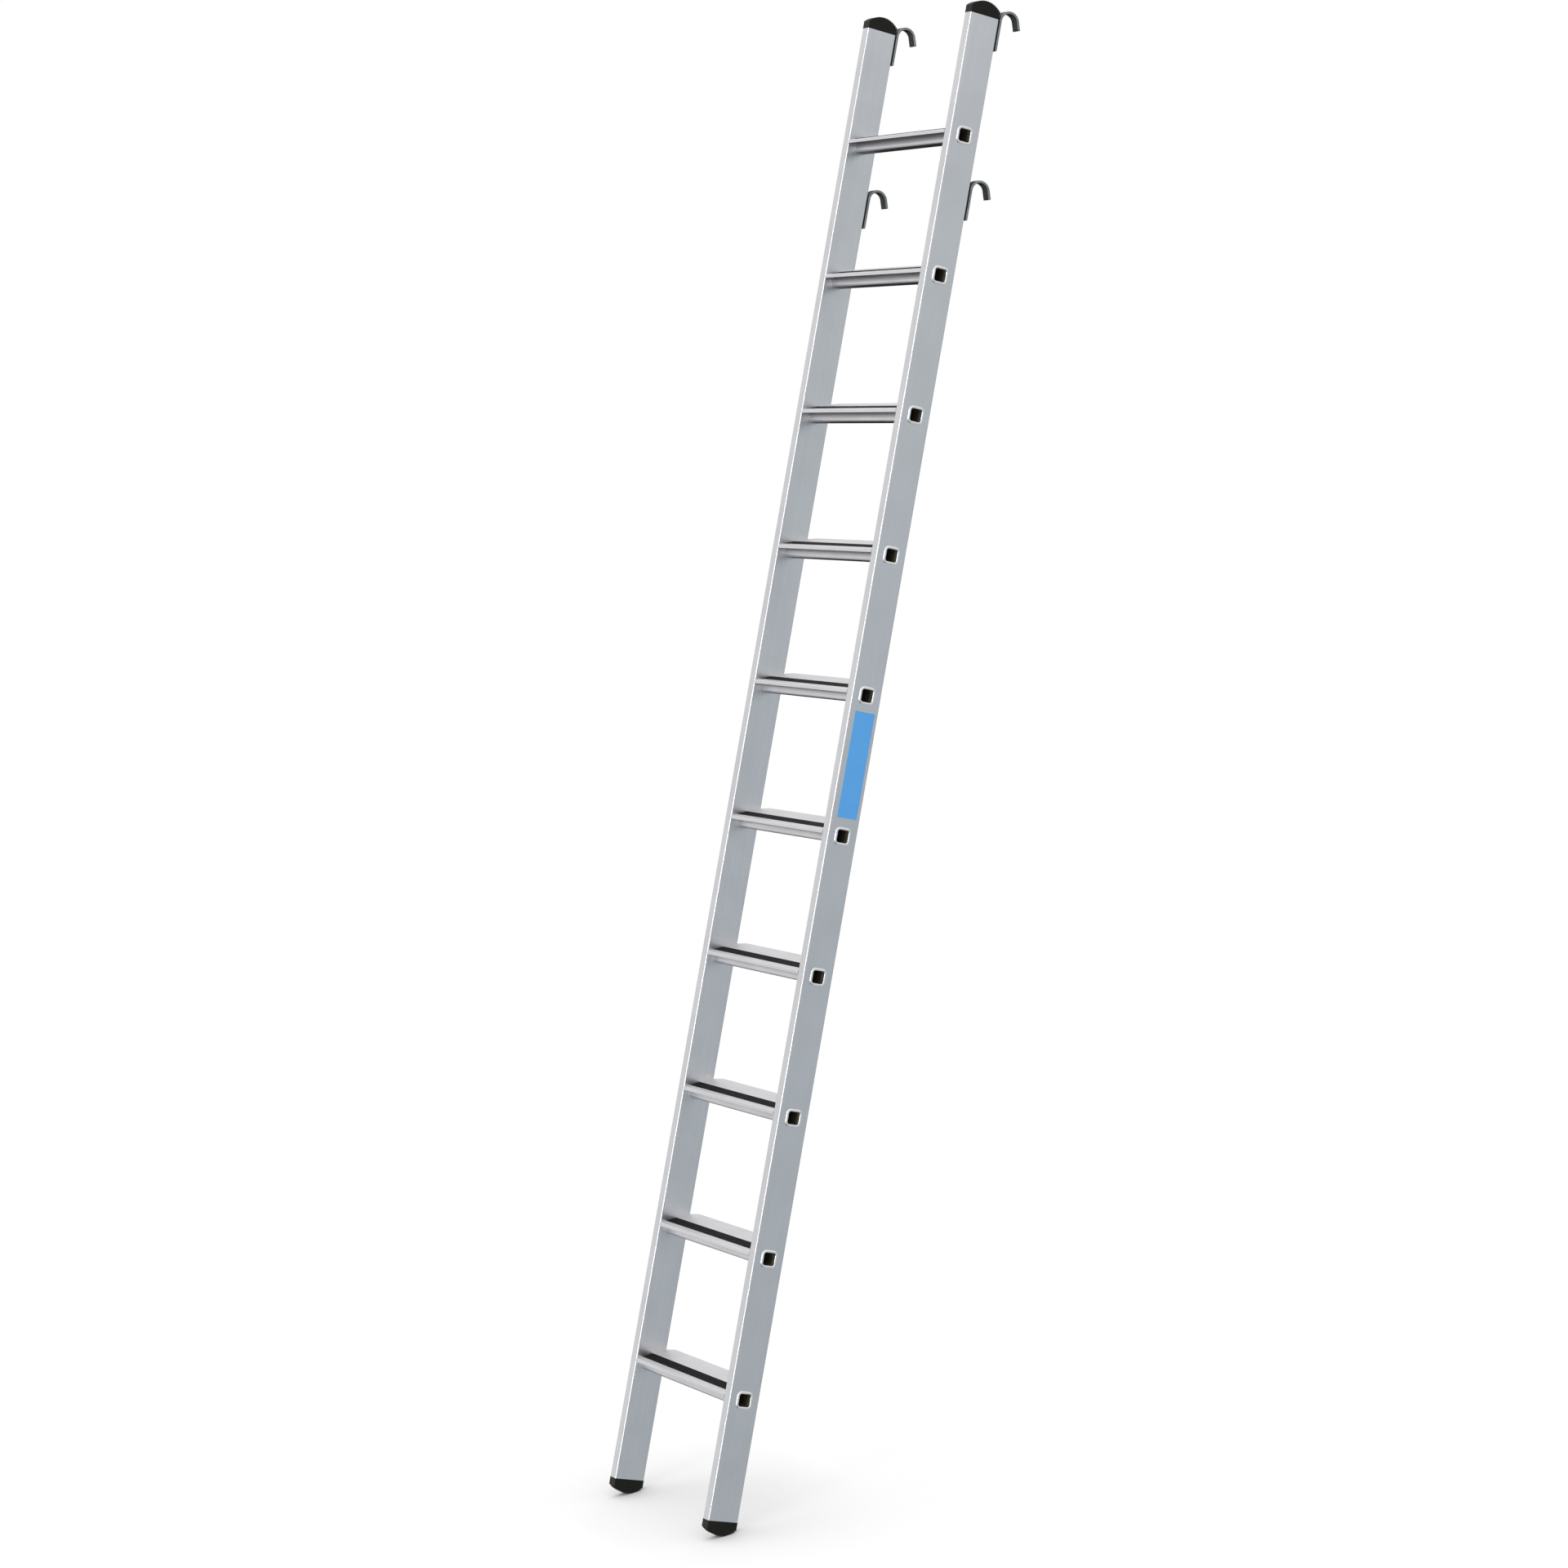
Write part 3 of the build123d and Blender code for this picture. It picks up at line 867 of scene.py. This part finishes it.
@dataclass
class GripStrips:
    """Ribbed rubber inserts, one in each tread's slot."""

    ladder: Ladder
    tread: Treads
    proud: float = 0.7
    clearance: float = 0.1
    rib_pitch: float = 2.2
    groove_width: float = 0.9
    groove_depth: float = 0.5
    rib_round: float = 0.2

    def outline(self) -> list[Point]:
        """Side view of a strip: a foot under the slot's lips and a ribbed crown."""
        tread = self.tread
        middle = tread.slot_start + tread.slot_width / 2
        crown = tread.slot_width / 2 - self.clearance
        foot = crown + tread.slot_undercut
        low, ledge = -tread.slot_depth, -tread.slot_lip - self.clearance
        count = int(2 * crown / self.rib_pitch)
        corners = [(-foot, low, 0.0), (foot, low, 0.0), (foot, ledge, 0.0), (crown, ledge, 0.0),
                   (crown, self.proud, self.rib_round)]
        for i in reversed(range(count)):
            centre = (i - (count - 1) / 2) * self.rib_pitch
            right, left = centre + self.groove_width / 2, centre - self.groove_width / 2
            floor = self.proud - self.groove_depth
            corners += [(right, self.proud, self.rib_round), (right, floor, 0.0),
                        (left, floor, 0.0), (left, self.proud, self.rib_round)]
        corners += [(-crown, self.proud, self.rib_round), (-crown, ledge, 0.0), (-foot, ledge, 0.0)]
        placed = [(*tread.tread_point(middle + along, up), radius) for along, up, radius in corners]
        return round_corners(placed, 3)

    def build(self) -> list[Object]:
        """Makes the row of strips and dresses it; returns the piece."""
        ladder, shape = self.ladder, bmesh.new()
        soft_prism(shape, self.outline(), -ladder.tread_half, ladder.tread_half)
        row = grow("grip_strips", row_tree(), {
            "Piece": to_object("grip_strip", shape), "Count": ladder.tread_count,
            "First Level": ladder.overhang, "Pitch": ladder.tread_pitch,
            "Finish": STRIP_RUBBER.build(ladder.lean)})
        place(row, ladder.standing())
        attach(row, "root")
        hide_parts(*(f"grip_strip_{i + 1:02d}" for i in range(ladder.tread_count)))
        return [row]


@dataclass
class EndCaps:
    """Moulded plugs with a ribbed dome, alike at the feet and the heads."""

    ladder: Ladder
    wall_height: float = 15.0
    dome_rise: float = 14.0
    corner: float = 1.2
    rib_pitch: float = 4.8
    groove_width: float = 2.2
    groove_depth: float = 1.8
    groove_taper: float = 0.3
    groove_round: float = 0.25
    plug_length: float = 24.0
    plug_gap: float = 1.95
    plug_wall: float = 2.2
    plug_corner: float = 1.0
    corner_steps: int = 5

    def outline(self) -> list[Point]:
        """Side view of a foot cap about the stile's axis, its dome cut into ribs."""
        half = self.ladder.stile_depth / 2
        radius = (half ** 2 + self.dome_rise ** 2) / (2 * self.dome_rise)
        centre = Vector((0, radius - self.wall_height - self.dome_rise))
        step = self.rib_pitch / radius
        count = 2 * int(asin(half / radius) / step) + 1
        soft, width = self.groove_round, self.groove_width / 2
        corners = [(half, 0.0, 0.0), (-half, 0.0, 0.0), (-half, -self.wall_height, 0.0)]
        for i in range(count):
            angle = (i - (count - 1) / 2) * step
            out, side = Vector((sin(angle), -cos(angle))), Vector((cos(angle), sin(angle)))
            floor, narrow = radius - self.groove_depth, width - self.groove_taper
            for reach, shift in ((radius, -width), (floor, -narrow), (floor, narrow), (radius, width)):
                corners.append((*(centre + out * reach + side * shift), soft))
        corners.append((half, -self.wall_height, 0.0))
        return round_corners(corners, 3)

    def cap(self) -> Object:
        """One foot cap with its hollow plug, about the stile's axis at the stile's end."""
        ladder, shape = self.ladder, bmesh.new()
        soft_prism(shape, self.outline(), -ladder.stile_width / 2, ladder.stile_width / 2)
        upright = [edge for edge in shape.edges
                   if abs(edge.verts[0].co.z - edge.verts[1].co.z) > self.wall_height - SLACK]
        bmesh.ops.bevel(shape, geom=upright, offset=self.corner, offset_type="OFFSET",
                        segments=self.corner_steps, profile=0.5, affect="EDGES")
        loops = []
        for thickness, heights in ((0.0, (0.0, self.plug_length)), (self.plug_wall, (self.plug_length, 0.0))):
            gap = 2 * (self.plug_gap + thickness)
            loop = rounded_rectangle(
                ladder.stile_width - gap, ladder.stile_depth - gap, self.plug_corner, 3)
            loops += [[(x, y, height) for x, y in loop] for height in heights]
        loft(shape, loops, ring=True)
        return to_object("end_cap", shape)

    def build(self) -> list[Object]:
        """Makes the foot and head caps and dresses them; returns the pieces."""
        ladder, tree, finish = self.ladder, places_tree(), CAP_PLASTIC.build(self.ladder.lean)
        pieces = []
        for end, level, turn in (("foot", 0.0, 0.0), ("head", ladder.stile_length, pi)):
            spots = [(sign * ladder.stile_centre, ladder.stile_depth / 2, level) for sign in (-1, 1)]
            caps = grow(f"{end}_caps", tree, {
                "Piece": self.cap(), "Places": outline_object("cap_places", spots, False),
                "Turn": (turn, 0.0, 0.0), "Finish": finish})
            place(caps, ladder.standing())
            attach(caps, "root")
            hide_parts(f"{end}_cap_left", f"{end}_cap_right")
            pieces.append(caps)
        return pieces


@dataclass
class RailHooks:
    """Four bent steel hooks on packing strips, each held by two blind rivets."""

    ladder: Ladder
    width: float = 20.0
    leg: float = 61.0
    tip: float = 18.0
    edge_round: float = 0.8
    bend_steps: int = 36
    # Sideways part of the normal above which a hook's face is a sheared edge
    edge_tilt: float = 0.6
    rivet_drops: tuple[float, ...] = (50.0, 30.0)
    rivet_radius: float = 3.2
    head_radius: float = 5.6
    head_height: float = 1.8
    mandrel_radius: float = 1.3
    mandrel_depth: float = 0.9
    mandrel_taper: float = 0.2
    bulb_radius: float = 4.6
    bulb_length: float = 6.0
    dome_steps: int = 5
    turn_steps: int = 24

    def path(self) -> list[Spot]:
        """Middle line of a hook about the rail's axis, its tip upright once the ladder leans."""
        ladder, steps = self.ladder, self.bend_steps
        lean, radius = radians(ladder.lean), ladder.rail_radius + ladder.hook_thickness / 2
        points = [(0.0, -radius, -self.leg)]
        for step in range(steps + 1):
            angle = pi - (pi - lean) * step / steps
            points.append((0.0, radius * cos(angle), radius * sin(angle)))
        _, y, z = points[-1]
        points.append((0.0, y + self.tip * sin(lean), z - self.tip * cos(lean)))
        return points

    def bar_tree(self) -> NodeTree:
        """Tree that draws a flat bar's section along a bent path."""
        tree, sizes = new_tree("bent_bar", {"Path": SHAPE, "Section": THING, "Finish": FINISH})
        section = add_node(tree, "GeometryNodeObjectInfo", {"Object": sizes.outputs["Section"]})
        path = add_node(tree, "GeometryNodeMeshToCurve", {"Mesh": sizes.outputs["Path"]})
        profile = add_node(tree, "GeometryNodeMeshToCurve", {"Mesh": section.outputs["Geometry"]})
        bar = add_node(tree, "GeometryNodeCurveToMesh", {
            "Curve": path, "Profile Curve": profile, "Fill Caps": True})
        close_tree(tree, bar, sizes)
        return tree

    def hook(self, finish: Material) -> Object:
        """One hook about the rail's axis."""
        section = [(x, y, 0.0) for x, y in rounded_rectangle(
            self.width, self.ladder.hook_thickness, self.edge_round, 3)]
        path = outline_object("hook_path", self.path(), False)
        return grow("rail_hook", self.bar_tree(), {
            "Section": outline_object("hook_section", section, True), "Finish": finish}, path)

    def skin(self, hooks: Object) -> None:
        """Gives the bars' broad faces their dark rolled skin; the sheared edges stay bare."""
        hooks.data.materials.append(HOOK_FACE_STEEL.build(self.ladder.lean))
        for face in hooks.data.polygons:
            face.material_index = 0 if abs(face.normal.x) > self.edge_tilt else 1

    def rivet(self) -> Object:
        """One set blind rivet along Y from the stile's back face, with its mandrel hole."""
        head = self.ladder.packing_thickness + self.ladder.hook_thickness
        top = head + self.head_height
        crown = (self.head_radius ** 2 + self.head_height ** 2) / (2 * self.head_height)
        inside = -self.ladder.stile_wall
        profile = [(self.mandrel_radius - self.mandrel_taper, top - self.mandrel_depth)]
        for step in range(self.dome_steps + 1):
            radius = self.mandrel_radius + (self.head_radius - self.mandrel_radius) * step / self.dome_steps
            profile.append((radius, top - crown + (crown ** 2 - radius ** 2) ** 0.5))
        profile += [(self.rivet_radius, head), (self.rivet_radius, inside),
                    (self.bulb_radius, inside), (self.bulb_radius, inside - self.bulb_length / 2),
                    (self.rivet_radius, inside - self.bulb_length)]
        turns = [2 * pi * i / self.turn_steps for i in range(self.turn_steps)]
        shape = bmesh.new()
        loft(shape, [[(r * cos(a), y, r * sin(a)) for a in turns] for r, y in profile])
        return to_object("blind_rivet", shape)

    def build(self) -> list[Object]:
        """Makes the hooks and rivets and dresses them and the packing strips; returns the pieces."""
        ladder, tree = self.ladder, places_tree()
        steel, packing = HOOK_EDGE_STEEL.build(ladder.lean), PACKING_RUBBER.build(ladder.lean)
        rails = [(sign * ladder.stile_centre, level) for sign in (-1, 1) for level in ladder.rail_levels]
        spots = [(x, ladder.rail_centre, level) for x, level in rails]
        hooks = grow("rail_hooks", tree, {
            "Piece": self.hook(steel), "Places": outline_object("hook_places", spots, False),
            "Finish": steel})
        self.skin(hooks)
        spots = [(x, ladder.stile_depth, level - drop) for x, level in rails for drop in self.rivet_drops]
        rivets = grow("blind_rivets", tree, {
            "Piece": self.rivet(), "Places": outline_object("rivet_places", spots, False),
            "Finish": RIVET_STEEL.build(ladder.lean)})
        names = [f"{rail}_hook{{}}_{side}" for rail in ("upper", "lower") for side in ("left", "right")]
        for piece, nodes, slot in ((hooks, [name.format("") for name in names], "hook_steel"),
                                   (rivets, ["hook_rivets"], "rivet_steel")):
            place(piece, ladder.standing())
            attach(piece, "root")
            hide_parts(*nodes)
        strips = [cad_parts[name.format("_packing")] for name in names]
        for strip in strips:
            for socket in strip.material_slots:
                socket.material = packing
        return [hooks, rivets, *strips]


@dataclass
class BlankLabel:
    """Plain film label on the right stile's outer face."""

    ladder: Ladder
    front: float = 14.0
    back: float = 59.0
    low: float = 1396.0
    high: float = 1607.5
    corner: float = 1.5
    thickness: float = 0.12
    edge_round: float = 0.03

    def build(self) -> list[Object]:
        """Makes the label and dresses it; returns the piece."""
        ladder, shape = self.ladder, bmesh.new()
        y, z = (self.front + self.back) / 2, (self.low + self.high) / 2
        sheet = rounded_rectangle(self.back - self.front, self.high - self.low, self.corner)
        face = ladder.width / 2
        placed = [(y + a, z + b) for a, b in sheet]
        soft_prism(shape, placed, face, face + self.thickness, self.edge_round)
        label = to_object("blank_label", shape)
        label.data.materials.append(LABEL_FILM.build(ladder.lean))
        place(label, ladder.standing())
        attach(label, "root")
        return [label]


# The studio

@dataclass(frozen=True)
class LightBand:
    """Brightness of the studio's walls at one height above or below the horizon."""

    elevation: float
    radiance: float
    tint: str = "#FFFFFF"


@dataclass(frozen=True)
class LightPanel:
    """Soft-edged round panel or flag, given by where it stands as seen from the ladder."""

    azimuth: float
    elevation: float
    inner: float
    outer: float
    radiance: float

    def direction(self) -> Vector:
        """Unit vector towards the panel's centre."""
        turn, rise = radians(self.azimuth), radians(self.elevation)
        return Vector((cos(rise) * cos(turn), cos(rise) * sin(turn), sin(rise)))


@dataclass
class Studio:
    """Pale floor, soft surrounding light and the camera."""

    camera_place: Spot = (7.35168, -3.64428, 2.72550)
    camera_aim: Spot = (0.0, 0.45926, 1.39812)
    camera_roll: float = -7.497
    lens: float = 97.86
    sensor: float = 36.0
    floor_size: float = 60.0
    floor_colour: str = "#7C7C7D"
    floor_glow: float = 0.78
    shade_reach: float = 0.35
    bands: tuple[LightBand, ...] = (
        LightBand(-90, 0.03), LightBand(-42, 0.10), LightBand(-22, 0.53, "#EDF8FD"),
        LightBand(-2, 0.58, "#EDF7FD"), LightBand(6, 0.77), LightBand(36, 0.86), LightBand(52, 1.12),
        LightBand(90, 0.92))
    # Bounce off the floor behind, flag below the treads, fill for the tubes' low corners, front fill,
    # overhead, then two flags beside an upright strip that only the stiles' rounded corners catch in
    # the main view.
    panels: tuple[LightPanel, ...] = (
        LightPanel(62, -62, 30, 46, 0.5), LightPanel(157, -27, 13, 27, 0.02),
        LightPanel(-164, -24, 9, 20, 0.75), LightPanel(-151, -4, 14, 30, 0.79),
        LightPanel(-166, 66, 12, 30, 2.6), LightPanel(-92, 27, 12, 26, 0.55), LightPanel(-42, 13, 8, 18, 0.5),
        LightPanel(-67.5, 12, 4, 9, 10.0), LightPanel(-67.5, 26, 4, 9, 10.0))

    def light(self) -> None:
        """Surrounds the ladder with bands and panels of light; the camera sees plain white."""
        world = bpy.data.worlds.new("studio_walls")
        bpy.context.scene.world = world
        world.use_nodes = True
        tree = world.node_tree
        tree.nodes.clear()
        way = add_node(tree, "ShaderNodeTexCoord").outputs["Generated"]
        height = add_node(tree, "ShaderNodeSeparateXYZ", {0: way}).outputs["Z"]
        share = spread(tree, height, (-1.0, 1.0), (0.0, 1.0))
        ramp = add_node(tree, "ShaderNodeValToRGB", {0: share})
        stops = ramp.color_ramp.elements
        while len(stops) < len(self.bands):
            stops.new(0.5)
        for stop, band in zip(stops, self.bands):
            stop.position = (sin(radians(band.elevation)) + 1) / 2
            stop.color = [band.radiance * part for part in linear(band.tint)[:3]] + [1.0]
        light = ramp.outputs[0]
        for panel in self.panels:
            near = add_node(tree, "ShaderNodeVectorMath", {
                0: way, 1: panel.direction()}, operation="DOT_PRODUCT").outputs["Value"]
            amount = spread(tree, near, (cos(radians(panel.outer)), cos(radians(panel.inner))), (0.0, 1.0))
            amount.interpolation_type = "SMOOTHSTEP"
            light = add_node(tree, "ShaderNodeMix", {
                "Factor": amount, 6: light, 7: (panel.radiance,) * 3 + (1.0,)}, data_type="RGBA").outputs[2]
        walls = add_node(tree, "ShaderNodeBackground", {"Color": light})
        white = add_node(tree, "ShaderNodeBackground", {"Color": (1.0, 1.0, 1.0, 1.0)})
        seen = add_node(tree, "ShaderNodeLightPath").outputs["Is Camera Ray"]
        mixed = add_node(tree, "ShaderNodeMixShader", {0: seen, 1: walls, 2: white})
        add_node(tree, "ShaderNodeOutputWorld", {"Surface": mixed})

    def floor(self) -> None:
        """Lays a pale matt floor that the metal doesn't mirror; it glows evenly, with painted shade from
        occlusion close to the feet.
        """
        shape, half = bmesh.new(), self.floor_size / 2
        shape.faces.new([shape.verts.new((x, y, 0)) for x, y in
                         ((-half, -half), (half, -half), (half, half), (-half, half))])
        floor = to_object("studio_floor", shape)
        material, tree, shader = new_finish("matt_studio_floor")
        shader.inputs["Base Color"].default_value = linear(self.floor_colour)
        shader.inputs["Roughness"].default_value = 0.9
        shader.inputs["Specular IOR Level"].default_value = 0.0
        # Painted shade: ambient occlusion darkens the floor's glow close to the feet, standing in for contact
        # shadow
        near = add_node(tree, "ShaderNodeAmbientOcclusion", {"Distance": self.shade_reach}, samples=16)
        tree.links.new(near.outputs["Color"], shader.inputs["Emission Color"])
        shader.inputs["Emission Strength"].default_value = self.floor_glow
        floor.data.materials.append(material)
        floor.visible_glossy = floor.visible_diffuse = False

    def camera(self) -> None:
        """Stands the camera where the ladder is seen from its right, a little rolled."""
        lens = bpy.data.cameras.new("studio_camera")
        lens.lens, lens.sensor_width = self.lens, self.sensor
        camera = bpy.data.objects.new("studio_camera", lens)
        spot = Vector(self.camera_place)
        aim = (Vector(self.camera_aim) - spot).to_track_quat("-Z", "Y")
        turn = aim @ Quaternion((0, 0, 1), radians(self.camera_roll))
        camera.matrix_world = Matrix.Translation(spot) @ turn.to_matrix().to_4x4()
        bpy.context.scene.collection.objects.link(camera)
        bpy.context.scene.camera = camera

    def build(self) -> None:
        """Sets the studio up round the ladder."""
        bpy.context.scene.view_settings.view_transform = "Standard"
        self.light()
        self.floor()
        self.camera()


def main() -> None:
    """Builds the ladder's pieces in order, logging each one's faces, then the studio."""
    logging.basicConfig(level=logging.INFO, format="%(name)s: %(message)s")
    ladder = Ladder()
    treads = Treads(ladder)
    for assembly in (Stiles(ladder), treads, GripStrips(ladder, treads), EndCaps(ladder),
                     RailHooks(ladder), BlankLabel(ladder)):
        for piece in assembly.build():
            log.info("%s: %d faces", piece.name, len(piece.data.polygons))
    Studio().build()


if __name__ == "__main__":
    main()
